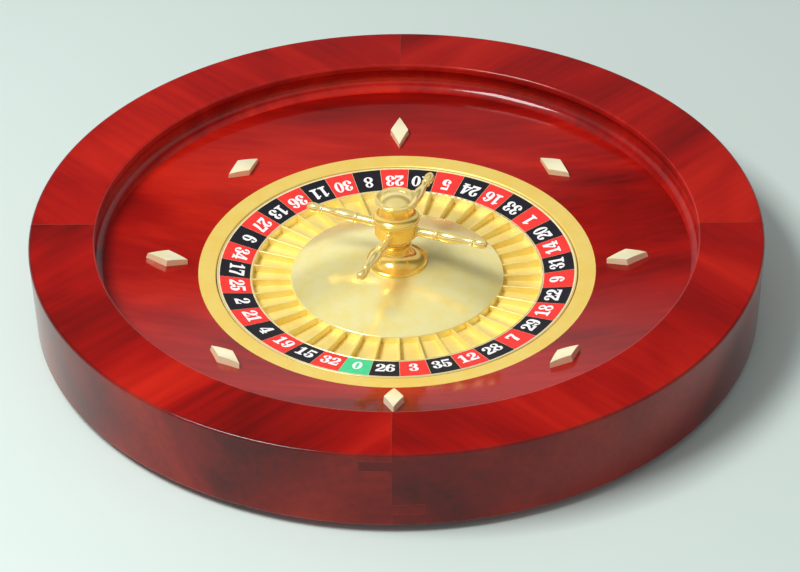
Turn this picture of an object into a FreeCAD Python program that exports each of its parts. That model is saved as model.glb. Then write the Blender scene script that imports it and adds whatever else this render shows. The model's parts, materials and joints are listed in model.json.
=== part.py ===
import FreeCAD, Part
import math
import os

# Tabletop roulette wheel. Millimetres, +Z up, origin on the table under the wheel's axis.
# The bowl (rim, apron, base and spindle) stands still. The rotor (pockets, numbers, cone and turret)
# turns on two ball bearings. Radii are chained outwards from the cone, heights upwards from the table.

Vector = FreeCAD.Vector
ORIGIN = Vector(0, 0, 0)
UP = Vector(0, 0, 1)

# ---- radii, from the axis outwards ----
cone_r = 67.2
pocket_length = 24.0
pocket_ring_wall = 1.1
pad_width = 20.2
rotor_rim_width = 0.9
rotor_gap = 0.7
trim_width = 10.8
apron_width = 59.1
lip_overhang = 3.5
track_bulge = 6.6
rim_width = 41.0
rim_draft = 1.3

# ---- heights, from the table upwards ----
foot_height = 5.3
base_thickness = 5.0
rotor_lift = 1.7
plate_thickness = 1.8
floor_thickness = 1.2
pocket_depth = 5.5
pad_rise = 3.7
trim_step = 0.6
trim_rise = 1.1
apron_rise = 12.1
track_height = 20.0
lip_depth = 5.0

# ---- rim, apron and trim ----
rim_round = 1.5
lip_round = 1.6
segment_count = 4
finger_length = 19.0
finger_height = 7.3
upper_finger_drop = 4.5
lower_finger_drop = 37.0
rabbet_wall = 12.0
shelf_width = 8.0
apron_edge_thickness = 12.0
apron_foot_width = 26.0
apron_foot_flare = 5.0
trim_thickness = 2.0
trim_skirt = 1.2
trim_skirt_depth = 5.8

# ---- deflectors ----
deflector_count = 8
deflector_length = 26.4
deflector_width = 12.2
deflector_height = 4.6
deflector_crown_r = 75.0
deflector_draft = 0.35
deflector_setback = 19.8
deflector_screw_head_depth = 1.5

# ---- base, feet and wood screws ----
foot_count = 4
foot_r = 12.0
foot_taper = 1.0
foot_circle_inset = 28.5
foot_recess_r = 4.6
foot_recess_depth = 2.6
screw_shank_r = 1.9
screw_head_r = 3.8
screw_head_height = 2.3
screw_tip = 1.9
rim_screw_bite = 16.0
apron_screw_bite = 10.0
apron_screw_setback = 15.0
deflector_screw_bite = 3.0
foot_screw_bite = 10.0

# ---- spindle ----
flange_r = 36.0
flange_thickness = 3.5
flange_boss_height = 4.2
bolt_circle_r = 30.0
bolt_count = 4
bolt_r = 2.0
bolt_head_r = 3.9
bolt_head_height = 2.2
bolt_nut_width = 7.0
bolt_nut_height = 3.2
bolt_end = 0.5
spindle_r = 6.0
spindle_neck_r = 4.0
spindle_thread_r = 3.0
spindle_nut_width = 10.0
spindle_nut_height = 3.2
washer_r = 5.1
washer_thickness = 0.8
spindle_end = 0.5
spindle_shoulder_drop = 1.0
spindle_head_room = 0.8

# ---- ball bearings ----
lower_outer_r = 14.0
lower_width = 8.0
lower_ball_r = 2.38
lower_balls = 8
upper_outer_r = 8.0
upper_width = 5.0
upper_ball_r = 1.19
upper_balls = 9
race_share = 0.275
ball_clearance = 0.12
cage_share = 0.17
cage_side = 0.6
shaft_clearance = 0.5
ring_thickness = 1.2
ring_depth = 0.9
ring_width = 2.4
ring_gap_deg = 40.0
ring_groove_ease = 0.1
ring_ease = 0.05

# ---- rotor ----
pocket_count = 37
zero_pocket_deg = -103.0
fret_thickness = 1.3
fret_inner_drop = 1.3
fret_top_round = 0.45
outer_ring_proud = 0.4
rotor_rim_proud = 0.3
number_ring_thickness = 0.8
carrier_wall = 2.2
cone_bore_ease = 2.2
cone_thickness = 1.0
cone_hub_gap = 1.2
cone_edge_drop = 0.7
plate_bore_inset = 11.2
web_flange_width = 6.0
web_thickness = 2.2
web_flange_thickness = 1.4
web_slope_width = 15.0
web_top_gap = 4.5
hub_r = 24.0
hub_flange_r = 38.0
hub_flange_thickness = 2.2
hub_web = 2.2
hub_nose = 3.0
hub_flange_gap = 1.4
hub_screw_circle_r = 31.0
hub_screw_count = 6
machine_screw_r = 1.5
machine_head_r = 2.8
machine_head_height = 1.6
machine_tip = 0.4
web_screw_count = 6
floor_web_gap = 0.5
carrier_screw_count = 6
carrier_screw_bite = 3.2
carrier_screw_inset = 2.3
carrier_head_r = 2.4
carrier_head_height = 1.1

# ---- turret ----
turret_flange_r = 19.0
turret_seat_gap = 0.2
turret_seat_depth = 1.5
turret_flange_edge = 1.0
turret_waist_r = 8.2
turret_flare_height = 6.5
bead_r = 9.6
bead_height = 3.0
bead_lift = 3.2
stem_r = 6.7
stem_top_lift = 21.0
stem_spigot_r = 6.0
turret_hub_r = 13.6
turret_hub_height = 9.0
turret_hub_floor = 2.0
turret_bore_ease = 1.0
neck_spigot = 1.4
shoulder_r = 14.7
shoulder_height = 7.0
neck_r = 10.5
neck_height = 13.0
neck_cavity_r = 6.6
cap_r = 13.3
cap_dome_r = 9.9
cap_height = 5.6
cap_groove = 0.4
cap_groove_half = 0.35
cap_flare_height = 2.7
cap_dome_rise = 2.6
stud_r = 2.5
stud_bite = 7.0
stud_cap_bite = 2.6
turret_screw_circle_r = 10.0
turret_screw_count = 3
turret_screw_bite = 3.0
arm_count = 4
arm_first_deg = -21.0
arm_length = 46.8
arm_rise_deg = 1.8
arm_lift = 4.0
arm_spigot_r = 2.1
arm_socket_wall = 2.4
arm_root_r = 2.8
arm_bead_r = 3.5
arm_belly_r = 3.6
arm_wrist_r = 2.1
arm_collar_r = 2.8
arm_knob_r = 3.2

# ---- levels that follow ----
base_top = foot_height + base_thickness
plate_bottom = base_top + rotor_lift
plate_top = plate_bottom + plate_thickness
pocket_floor = plate_top + floor_thickness
pad_inner_z = pocket_floor + pocket_depth
pad_outer_z = pad_inner_z + pad_rise
trim_inner_z = pad_outer_z + trim_step
trim_outer_z = trim_inner_z + trim_rise
track_z = trim_outer_z + apron_rise
rim_top = track_z + track_height

# ---- radii that follow ----
pocket_outer_r = cone_r + pocket_length
pad_inner_r = pocket_outer_r + pocket_ring_wall
pad_outer_r = pad_inner_r + pad_width
rotor_r = pad_outer_r + rotor_rim_width
bowl_bore_r = rotor_r + rotor_gap
trim_outer_r = bowl_bore_r + trim_width
track_r = trim_outer_r + apron_width
rim_inner_r = track_r + lip_overhang
rim_outer_r = rim_inner_r + rim_width
board_r = rim_outer_r - rim_draft - rabbet_wall
apron_slope_deg = math.degrees(math.atan2(apron_rise, apron_width))
board_mid_r = rim_outer_r - foot_circle_inset
plate_bore_r = cone_r - plate_bore_inset

# ---- the rotor's heights about the spindle ----
flange_top = base_top + flange_thickness
lower_bearing_z = flange_top + flange_boss_height
lower_bearing_top = lower_bearing_z + lower_width
hub_top = lower_bearing_top + hub_web
cone_edge_z = pad_inner_z - cone_edge_drop
cone_apex = hub_top + cone_hub_gap + cone_thickness
cone_rise = cone_apex - cone_edge_z
cone_dome_r = (cone_r ** 2 + cone_rise ** 2) / (2 * cone_rise)
hub_floor_z = cone_apex + stem_top_lift
upper_bearing_z = hub_floor_z + turret_hub_floor
upper_bearing_top = upper_bearing_z + upper_width
turret_hub_top = hub_floor_z + turret_hub_height
arm_z = hub_floor_z + arm_lift
arm_spigot_length = turret_hub_r - upper_outer_r - arm_socket_wall
neck_top = turret_hub_top + neck_height
washer_top = upper_bearing_top + washer_thickness
spindle_nut_top = washer_top + spindle_nut_height
spindle_top = spindle_nut_top + spindle_end
hub_seat_z = cone_apex - hub_flange_r ** 2 / (2 * cone_dome_r) - cone_thickness - web_top_gap


def turned(path, sweep_deg=360.0):
    """Turn a closed outline about Z. An item is an (r, z) corner, or a pair (middle, end) for an arc."""
    start = Vector(path[0][0], 0, path[0][1])
    here = start
    edges = []
    for item in path[1:] + [path[0]]:
        if isinstance(item[0], tuple):
            middle = Vector(item[0][0], 0, item[0][1])
            end = Vector(item[1][0], 0, item[1][1])
            edges.append(Part.Arc(here, middle, end).toShape())
        else:
            end = Vector(item[0], 0, item[1])
            edges.append(Part.makeLine(here, end))
        here = end
    face = Part.Face(Part.Wire(edges))
    solid = face.revolve(ORIGIN, UP, sweep_deg)
    if solid.Volume < 0:
        solid.reverse()
    return solid


def ring(inner_r, outer_r, low, high):
    """Plain ring, or a disc if inner_r is 0."""
    return turned([(inner_r, low), (outer_r, low), (outer_r, high), (inner_r, high)])


def rod(r, low, high, x=0.0, y=0.0):
    """Upright round rod at (x, y)."""
    return Part.makeCylinder(r, high - low, Vector(x, y, low))


def polar(r, angle_deg, z=0.0):
    """Point at a radius and an angle about the axis."""
    angle = math.radians(angle_deg)
    return Vector(r * math.cos(angle), r * math.sin(angle), z)


def turn(shape, angle_deg):
    """Copy of a shape turned about the wheel's axis."""
    copy = shape.copy()
    copy.rotate(ORIGIN, UP, angle_deg)
    return copy


def around(shape, count, first_deg=0.0):
    """The same shape repeated evenly about the axis, as separate solids."""
    return [turn(shape, first_deg + number * 360.0 / count) for number in range(count)]


def wedge(start_deg, end_deg, low, high):
    """Solid sector that reaches past the rim."""
    reach = rim_outer_r + 20
    sector = turned([(1, low), (reach, low), (reach, high), (1, high)], end_deg - start_deg)
    return turn(sector, start_deg)


def hexagon_nut(width, bore_r, low, high, x=0.0, y=0.0):
    """Hexagon nut with an upright bore, width across its flats."""
    corner_r = width / math.sqrt(3)
    corners = [polar(corner_r, 30 + 60 * side, low) + Vector(x, y, 0) for side in range(7)]
    blank = Part.Face(Part.makePolygon(corners)).extrude(Vector(0, 0, high - low))
    chamfer = turned([(0, low), (corner_r - 0.35, low), (corner_r, low + 0.3), (corner_r, high - 0.3),
                      (corner_r - 0.35, high), (0, high)])
    chamfer.translate(Vector(x, y, 0))
    return blank.common(chamfer).cut(rod(bore_r, low - 1, high + 1, x, y))


def sunk_screw(head_z, tip_z, shank_r=screw_shank_r, head_r=screw_head_r, head_height=screw_head_height,
               point=screw_tip):
    """Countersunk screw pointing up from a flat head at head_z, with a cross recess."""
    screw = turned([(0, head_z), (head_r, head_z), (head_r, head_z + 0.3), (shank_r, head_z + head_height),
                    (shank_r, tip_z - point), (0.2, tip_z), (0, tip_z)])
    for angle in (0, 90):
        slot = Part.makeBox(head_r * 1.2, 0.8, 1.2, Vector(-head_r * 0.6, -0.4, head_z - 0.1))
        slot.rotate(Vector(0, 0, head_z), UP, angle)
        screw = screw.cut(slot)
    return screw


def sunk_hole(head_z, tip_z, shank_r=screw_shank_r, head_r=screw_head_r, head_height=screw_head_height,
              point=screw_tip):
    """Hole that a sunk_screw of the same sizes fills."""
    return turned([(0, head_z - 1), (head_r, head_z - 1), (head_r, head_z + 0.3),
                   (shank_r, head_z + head_height), (shank_r, tip_z - point), (0.2, tip_z), (0, tip_z)])


def moved(shape, x, y=0.0):
    """Copy of a shape moved sideways."""
    copy = shape.copy()
    copy.translate(Vector(x, y, 0))
    return copy


def cut_all(shape, tools):
    """Cut a shape by several others."""
    return shape.cut(Part.makeCompound(tools))


# ---- rim ----

def rim_blank():
    """The whole rim before it is split: wall, flat top, lip, ball track cove and apron shelf."""
    foot_r_out = rim_outer_r - rim_draft
    shelf_z = track_z - apron_edge_thickness
    bulge_r = track_r + track_bulge
    cove_z = rim_top - lip_depth
    return turned([
        (board_r, foot_height), (foot_r_out - rim_round, foot_height),
        ((foot_r_out - 0.44, foot_height + 0.44), (foot_r_out, foot_height + rim_round)),
        (rim_outer_r, rim_top - rim_round),
        ((rim_outer_r - 0.44, rim_top - 0.44), (rim_outer_r - rim_round, rim_top)),
        (rim_inner_r + lip_round, rim_top),
        ((rim_inner_r + 0.47, rim_top - 0.47), (rim_inner_r, rim_top - lip_round)),
        (rim_inner_r, cove_z + 0.8), (rim_inner_r + 0.8, cove_z),
        ((bulge_r, (cove_z + track_z) / 2 + 1.2), (track_r, track_z)),
        (track_r, shelf_z), (track_r - shelf_width, shelf_z), (track_r - shelf_width, base_top),
        (board_r, base_top)])


def finger(seam_deg, side, drop):
    """Region of one finger, on the side (+1 anticlockwise, -1 clockwise) of a seam."""
    reach_deg = math.degrees(finger_length / rim_outer_r)
    top = rim_top - drop
    start = seam_deg if side > 0 else seam_deg - reach_deg
    return wedge(start, start + reach_deg, top - finger_height, top)


def rim_segments(blank, holes):
    """Quadrants whose upper fingers reach clockwise past a seam and lower fingers anticlockwise."""
    span = 360.0 / segment_count
    segments = []
    for number in range(segment_count):
        start = number * span
        region = wedge(start, start + span, 0, rim_top + 10)
        region = region.fuse(finger(start, -1, upper_finger_drop))
        region = region.cut(finger(start + span, -1, upper_finger_drop))
        region = region.cut(finger(start, 1, lower_finger_drop))
        region = region.fuse(finger(start + span, 1, lower_finger_drop))
        segments.append(cut_all(blank.common(region), holes))
    return segments


# ---- apron, trim and deflectors ----

def apron_top_z(r):
    """Height of the apron's sloping face."""
    return trim_outer_z + (r - trim_outer_r) * apron_rise / apron_width


def apron_ring(holes):
    """Sloping bowl with a foot ring on the base board, rabbeted over the rim's shelf and for the trim."""
    shelf_z = track_z - apron_edge_thickness
    shelf_r = track_r - shelf_width
    foot_out_r = bowl_bore_r + apron_foot_width
    underside_r = foot_out_r + apron_foot_flare
    body = turned([
        (bowl_bore_r + trim_skirt, base_top), (foot_out_r, base_top),
        (underside_r, apron_top_z(underside_r) - apron_edge_thickness),
        (shelf_r, apron_top_z(shelf_r) - apron_edge_thickness), (shelf_r, shelf_z), (track_r, shelf_z),
        (track_r, track_z), (trim_outer_r, trim_outer_z), (trim_outer_r, trim_outer_z - trim_thickness),
        (bowl_bore_r + trim_skirt, trim_inner_z - trim_thickness)])
    return cut_all(body, holes)


def apron_trim():
    """Metal ring at the apron's inner edge, with a skirt down the bore."""
    skirt_z = trim_inner_z - trim_thickness - trim_skirt_depth
    edge = 0.5
    return turned([
        (bowl_bore_r, skirt_z), (bowl_bore_r + trim_skirt, skirt_z),
        (bowl_bore_r + trim_skirt, trim_inner_z - trim_thickness),
        (trim_outer_r, trim_outer_z - trim_thickness), (trim_outer_r, trim_outer_z),
        (bowl_bore_r + edge, trim_inner_z), (bowl_bore_r, trim_inner_z - edge)])


def deflector_place(shape, lengthwise_deg, angle_deg):
    """Set a shape that stands on z=0 onto the apron's slope, at an angle about the axis."""
    seat_r = trim_outer_r + deflector_setback
    placed = shape.copy()
    placed.rotate(ORIGIN, UP, lengthwise_deg)
    placed.rotate(ORIGIN, Vector(0, 1, 0), -apron_slope_deg)
    placed.translate(Vector(seat_r, 0, apron_top_z(seat_r)))
    placed.rotate(ORIGIN, UP, angle_deg)
    return placed


def rhombus_face(half_length, half_width, z):
    """Flat rhombus wire with its long diagonal along X."""
    corners = [Vector(half_length, 0, z), Vector(0, half_width, z), Vector(-half_length, 0, z),
               Vector(0, -half_width, z), Vector(half_length, 0, z)]
    return Part.makePolygon(corners)


def deflector_blank():
    """Rhombic block with drafted sides and a domed top, standing on z=0."""
    half_length = deflector_length / 2
    half_width = deflector_width / 2
    shrink = deflector_draft * half_length / half_width
    low = rhombus_face(half_length, half_width, 0)
    high = rhombus_face(half_length - shrink, half_width - deflector_draft, deflector_height)
    block = Part.makeLoft([low, high], True)
    crown = Part.makeSphere(deflector_crown_r, Vector(0, 0, deflector_height - deflector_crown_r))
    return block.common(crown)


def deflector_screw_sizes():
    """Head and tip heights of a deflector's screw, measured from the apron's face at its seat."""
    return deflector_screw_head_depth - apron_edge_thickness, deflector_screw_bite


def deflectors():
    """Eight deflectors, radial and tangential in turn, bored for screws and curved underneath."""
    head_z, tip_z = deflector_screw_sizes()
    blank = deflector_blank().cut(sunk_hole(head_z, tip_z))
    apron_skin = turned([
        (trim_outer_r, trim_outer_z - deflector_height), (track_r, track_z - deflector_height),
        (track_r, track_z), (trim_outer_r, trim_outer_z)])
    pieces = []
    for number in range(deflector_count):
        lengthwise_deg = 90.0 * (number % 2)
        placed = deflector_place(blank, lengthwise_deg, number * 360.0 / deflector_count)
        pieces.append(placed.cut(apron_skin))
    return pieces


def deflector_fasteners(maker):
    """One screw, or one screw hole, for each deflector."""
    head_z, tip_z = deflector_screw_sizes()
    shape = maker(head_z, tip_z)
    if maker is sunk_hole:
        shape = shape.fuse(rod(screw_head_r + 0.6, head_z - 12, head_z))
    return [deflector_place(shape, 0, number * 360.0 / deflector_count) for number in range(deflector_count)]


# ---- base ----

def foot_angles():
    """Feet stand under the middle of each rim segment."""
    return [(number + 0.5) * 360.0 / foot_count for number in range(foot_count)]


def board_fasteners(maker, circle_r, bite):
    """Screws, or their holes, up through the base board between the feet."""
    shape = moved(maker(foot_height, base_top + bite), circle_r)
    count = 2 * segment_count
    return around(shape, count, 180.0 / count)


def foot_fasteners(maker):
    """Screws, or their holes, up through the feet and the base board."""
    shape = moved(maker(foot_recess_depth, base_top + foot_screw_bite), board_mid_r)
    return [turn(shape, angle) for angle in foot_angles()]


def feet(holes):
    """Tapered rubber feet with a recess for the screw's head."""
    foot = turned([(foot_recess_r, 0), (foot_r - foot_taper, 0), (foot_r, 1.2), (foot_r, foot_height),
                   (0, foot_height), (0, foot_recess_depth), (foot_recess_r, foot_recess_depth)])
    foot = moved(foot, board_mid_r)
    return [cut_all(turn(foot, angle), holes) for angle in foot_angles()]


def flange_bolt():
    """Countersunk bolt up through the board and the flange."""
    tip = flange_top + bolt_nut_height + bolt_end
    return sunk_screw(foot_height, tip, bolt_r, bolt_head_r, bolt_head_height, machine_tip)


def flange_bolt_hole():
    """Hole for a flange bolt."""
    tip = flange_top + bolt_nut_height + bolt_end
    return sunk_hole(foot_height, tip, bolt_r, bolt_head_r, bolt_head_height, machine_tip)


# ---- bearings ----

def bearing(bore_r, outer_r, low, width, ball_r, ball_count):
    """Inner race, outer race, balls and cage of one deep-groove bearing."""
    pitch_r = (bore_r + outer_r) / 2
    race = (outer_r - bore_r) * race_share
    middle = low + width / 2
    groove = Part.makeTorus(pitch_r, ball_r + ball_clearance, Vector(0, 0, middle))
    inner = ring(bore_r, bore_r + race, low, low + width).cut(groove)
    outer = ring(outer_r - race, outer_r, low, low + width).cut(groove)
    ball = Part.makeSphere(ball_r, Vector(pitch_r, 0, middle))
    half = (outer_r - bore_r) * cage_share / 2
    socket = Part.makeCylinder(ball_r + ball_clearance, 4 * half, Vector(pitch_r - 2 * half, 0, middle),
                               Vector(1, 0, 0))
    cage = ring(pitch_r - half, pitch_r + half, low + cage_side, low + width - cage_side)
    cage = cut_all(cage, around(socket, ball_count))
    return inner, outer, around(ball, ball_count), cage


# ---- rotor ----

def cone_top_z(r):
    """Height of the cone's domed face."""
    return cone_apex - cone_dome_r + math.sqrt(cone_dome_r ** 2 - r ** 2)


def cone_shell():
    """Spun metal dome with a skirt down to the pocket floor."""
    inner_r = turret_screw_circle_r + cone_bore_ease
    under_r = cone_r - cone_thickness
    mid_r = (inner_r + cone_r) / 2
    return turned([
        (inner_r, cone_top_z(inner_r) - cone_thickness), (inner_r, cone_top_z(inner_r)),
        ((mid_r, cone_top_z(mid_r)), (cone_r - 0.6, cone_top_z(cone_r - 0.6))),
        ((cone_r - 0.15, cone_edge_z - 0.15), (cone_r, cone_edge_z - 0.7)),
        (cone_r, pocket_floor), (under_r, pocket_floor),
        (under_r, cone_top_z(under_r) - cone_thickness),
        ((mid_r, cone_top_z(mid_r) - cone_thickness),
         (inner_r + 0.01, cone_top_z(inner_r + 0.01) - cone_thickness))])


def fret():
    """One thin wall between two pockets, highest at the outer ring."""
    inner_top = pad_inner_z - fret_inner_drop
    outline = [Vector(cone_r, -fret_thickness / 2, pocket_floor),
               Vector(pocket_outer_r, -fret_thickness / 2, pocket_floor),
               Vector(pocket_outer_r, -fret_thickness / 2, pad_inner_z),
               Vector(cone_r, -fret_thickness / 2, inner_top),
               Vector(cone_r, -fret_thickness / 2, pocket_floor)]
    wall = Part.Face(Part.makePolygon(outline)).extrude(Vector(0, fret_thickness, 0))
    middle_z = (inner_top + pad_inner_z) / 2
    top_edges = [edge for edge in wall.Edges
                 if abs(edge.CenterOfMass.z - middle_z) < 0.01 and edge.Length > pocket_length * 0.9]
    wall = wall.makeFillet(fret_top_round, top_edges)
    annulus = ring(cone_r, pocket_outer_r, pocket_floor, pad_inner_z + 1)
    return wall.common(annulus)


def pocket_outer_ring():
    """Upright wall at the outer end of the pockets, with a rounded bright edge."""
    top = pad_inner_z + outer_ring_proud
    middle_r = (pocket_outer_r + pad_inner_r) / 2
    return turned([
        (pocket_outer_r, pocket_floor), (pad_inner_r, pocket_floor), (pad_inner_r, top - 0.4),
        ((middle_r, top), (pocket_outer_r, top - 0.4))])


def number_carrier(holes):
    """Ring that holds the number ring at its slope, open underneath."""
    drop = number_ring_thickness
    wall = carrier_wall
    inner_z = pad_inner_z - drop
    outer_z = pad_outer_z - drop
    body = turned([
        (pad_inner_r, plate_top), (pad_inner_r + 2 * wall, plate_top),
        (pad_inner_r + 2 * wall, inner_z - wall), (pad_outer_r - wall, outer_z - 1.4 * wall),
        (pad_outer_r - wall, plate_top), (pad_outer_r, plate_top), (pad_outer_r, outer_z),
        (pad_inner_r, inner_z)])
    return cut_all(body, holes)


def number_ring():
    """Thin sloping ring that carries the printed numbers."""
    drop = number_ring_thickness
    return turned([
        (pad_inner_r, pad_inner_z - drop), (pad_outer_r, pad_outer_z - drop), (pad_outer_r, pad_outer_z),
        (pad_inner_r, pad_inner_z)])


def rotor_rim():
    """Thin edge ring round the number carrier and the rotor plate."""
    top = pad_outer_z + rotor_rim_proud
    return turned([
        (pad_outer_r, plate_bottom), (rotor_r, plate_bottom), (rotor_r, top - 0.3), (rotor_r - 0.3, top),
        (pad_outer_r, top)])


def rotor_web(holes):
    """Dished web from the rotor plate up to the hub."""
    outer_r = plate_bore_r + web_flange_width
    foot_z = plate_top + web_flange_thickness
    knee_r = plate_bore_r - web_slope_width
    body = turned([
        (hub_r, hub_seat_z - web_thickness), (knee_r, hub_seat_z - web_thickness),
        (plate_bore_r - 1.5, plate_top), (outer_r, plate_top), (outer_r, foot_z),
        (plate_bore_r + 0.2, foot_z), (knee_r + 1.5, hub_seat_z), (hub_r, hub_seat_z)])
    return cut_all(body, holes)


def rotor_hub(holes):
    """Turned hub round the lower bearing, with a flange on the web and a groove for the retaining ring."""
    low = flange_top + hub_flange_gap
    seat_r = lower_outer_r
    groove_low = lower_bearing_z - ring_thickness - ring_groove_ease
    body = turned([
        (seat_r, low), (hub_r, low), (hub_r, hub_seat_z), (hub_flange_r, hub_seat_z),
        (hub_flange_r, hub_seat_z + hub_flange_thickness), (hub_r, hub_seat_z + hub_flange_thickness),
        (hub_r - hub_nose, hub_top), (spindle_r + shaft_clearance, hub_top),
        (spindle_r + shaft_clearance, lower_bearing_top), (seat_r, lower_bearing_top),
        (seat_r, lower_bearing_z), (seat_r + ring_depth, lower_bearing_z), (seat_r + ring_depth, groove_low),
        (seat_r, groove_low)])
    return cut_all(body, holes)


def retaining_ring():
    """Internal snap ring under the lower bearing's outer race."""
    body = ring(lower_outer_r + ring_depth - ring_width, lower_outer_r + ring_depth - ring_ease,
                lower_bearing_z - ring_thickness, lower_bearing_z)
    return body.cut(wedge(-ring_gap_deg / 2, ring_gap_deg / 2, 0, lower_bearing_z + 1))


def pan_screws(circle_r, count, head_z, tip_z, first_deg=0.0):
    """Small pan-head screws pointing down, as separate solids."""
    screw = turned([
        (0, tip_z), (machine_screw_r - machine_tip, tip_z), (machine_screw_r, tip_z + machine_tip),
        (machine_screw_r, head_z), (machine_head_r, head_z), (machine_head_r, head_z + 0.8),
        ((machine_head_r - 0.5, head_z + 1.3), (machine_head_r - 1.2, head_z + machine_head_height)),
        (0, head_z + machine_head_height)])
    slot = Part.makeBox(machine_head_r * 2 + 1, 0.7, 1.0,
                        Vector(-machine_head_r - 0.5, -0.35, head_z + machine_head_height - 0.7))
    return around(moved(screw.cut(slot), circle_r), count, first_deg)


def screw_holes(circle_r, count, low, high, first_deg=0.0):
    """Through holes that the small screws fill."""
    return around(rod(machine_screw_r, low, high, circle_r), count, first_deg)


def carrier_fasteners(maker):
    """Countersunk screws, or their holes, up through the rotor plate into the number carrier."""
    circle_r = pad_inner_r + carrier_screw_inset
    tip_z = plate_top + carrier_screw_bite
    shape = maker(plate_bottom, tip_z, machine_screw_r, carrier_head_r, carrier_head_height, machine_tip)
    return around(moved(shape, circle_r), carrier_screw_count, 180.0 / carrier_screw_count)


def rotor_plate(holes):
    """Flat ring plate under the pockets and the number carrier."""
    return cut_all(ring(plate_bore_r, pad_outer_r, plate_bottom, plate_top), holes)


# ---- turret ----

def turret_screw(maker):
    """Countersunk screw, or its hole, up from the rotor hub into the turret base."""
    tip = hub_top + turret_screw_bite
    return maker(lower_bearing_top, tip, machine_screw_r, machine_head_r, machine_head_height, machine_tip)


def turret_base():
    """Flared foot on the cone, bead and stem, bored for the spindle."""
    bore_r = spindle_neck_r + shaft_clearance
    spigot_r = turret_screw_circle_r + cone_bore_ease - turret_seat_gap
    edge_z = cone_apex + turret_flange_edge
    seat_z = cone_apex - turret_seat_depth
    waist_z = edge_z + turret_flare_height
    bead_z = waist_z + bead_lift
    bead_top = bead_z + bead_height
    middle = (turret_waist_r + 3.2, edge_z + turret_flare_height * 0.3)
    body = turned([
        (bore_r, hub_top), (spigot_r, hub_top), (spigot_r, seat_z), (turret_flange_r, seat_z),
        (turret_flange_r, edge_z - 0.5), (turret_flange_r - 0.6, edge_z),
        (middle, (turret_waist_r, waist_z)),
        ((turret_waist_r - 0.5, (waist_z + bead_z) / 2), (turret_waist_r, bead_z)),
        ((bead_r, (bead_z + bead_top) / 2), (turret_waist_r, bead_top)),
        ((stem_r + 0.4, bead_top + 1.0), (stem_r, bead_top + 2.6)),
        (stem_r, hub_floor_z), (stem_spigot_r, hub_floor_z), (stem_spigot_r, upper_bearing_z),
        (bore_r, upper_bearing_z)])
    dome = Part.makeSphere(cone_dome_r, Vector(0, 0, cone_apex - cone_dome_r))
    outside = ring(spigot_r, turret_flange_r + 1, hub_top - 1, cone_apex + 1)
    body = body.cut(dome.common(outside))
    holes = around(moved(turret_screw(sunk_hole), turret_screw_circle_r), turret_screw_count)
    return cut_all(body, holes)


def arm_path():
    """Half outline of one arm along its length from the hub's face: beads, swelling, taper and end knob."""
    end = arm_length
    bead = end * 0.29
    collar = end * 0.79
    groove_r = arm_wrist_r + 0.2
    return [
        (0, -arm_spigot_length), (arm_spigot_r, -arm_spigot_length), (arm_spigot_r, 0),
        (arm_root_r + 0.3, 0), ((arm_root_r - 0.1, 1.6), (arm_root_r, 3.2)), (arm_root_r, bead - 1.6),
        ((arm_bead_r, bead), (arm_root_r, bead + 1.6)),
        ((arm_belly_r, end * 0.43), (arm_belly_r - 0.8, end * 0.62)),
        ((arm_wrist_r + 0.1, end * 0.70), (arm_wrist_r, collar - 1.2)),
        ((arm_collar_r, collar), (groove_r, collar + 1.2)),
        ((arm_knob_r, end * 0.91), (groove_r + 0.2, end - 1.0)),
        ((arm_wrist_r - 0.3, end - 0.3), (0.3, end)), (0, end)]


def arm(angle_deg):
    """One turned arm, screwed into the turret hub and rising slightly to its tip."""
    body = turned(arm_path())
    body.rotate(ORIGIN, Vector(0, 1, 0), 90 - arm_rise_deg)
    body.translate(Vector(turret_hub_r - 0.1, 0, arm_z))
    return turn(body, angle_deg)


def arms():
    """The four arms."""
    return [arm(arm_first_deg + number * 360.0 / arm_count) for number in range(arm_count)]


def turret_hub(arm_solids):
    """Short cylinder round the upper bearing, bored for the four arms."""
    edge = 0.5
    bore_r = upper_outer_r + turret_bore_ease
    body = turned([
        (stem_spigot_r, hub_floor_z), (turret_hub_r - edge, hub_floor_z), (turret_hub_r, hub_floor_z + edge),
        (turret_hub_r, turret_hub_top), (bore_r, turret_hub_top), (bore_r, upper_bearing_top),
        (upper_outer_r, upper_bearing_top), (upper_outer_r, upper_bearing_z),
        (stem_spigot_r, upper_bearing_z)])
    return cut_all(body, arm_solids)


def turret_neck():
    """Rounded shoulder that narrows to the neck, with a spigot that holds the upper bearing down."""
    spigot_r = upper_outer_r + turret_bore_ease
    shoulder_z = turret_hub_top + shoulder_height
    ceiling = spindle_top + spindle_head_room
    body = turned([
        (spigot_r - neck_spigot, upper_bearing_top), (spigot_r, upper_bearing_top),
        (spigot_r, turret_hub_top), (turret_hub_r + 0.3, turret_hub_top),
        ((shoulder_r, turret_hub_top + 1.7), (turret_hub_r + 0.3, turret_hub_top + 3.4)),
        ((neck_r + 0.8, shoulder_z - 1.6), (neck_r, shoulder_z)),
        ((neck_r - 0.25, (shoulder_z + neck_top) / 2), (neck_r, neck_top)),
        (0, neck_top), (0, ceiling), (neck_cavity_r, ceiling), (neck_cavity_r, turret_hub_top),
        (spigot_r - neck_spigot, turret_hub_top)])
    return body.cut(rod(stud_r, neck_top - stud_bite, neck_top + 1))


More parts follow.
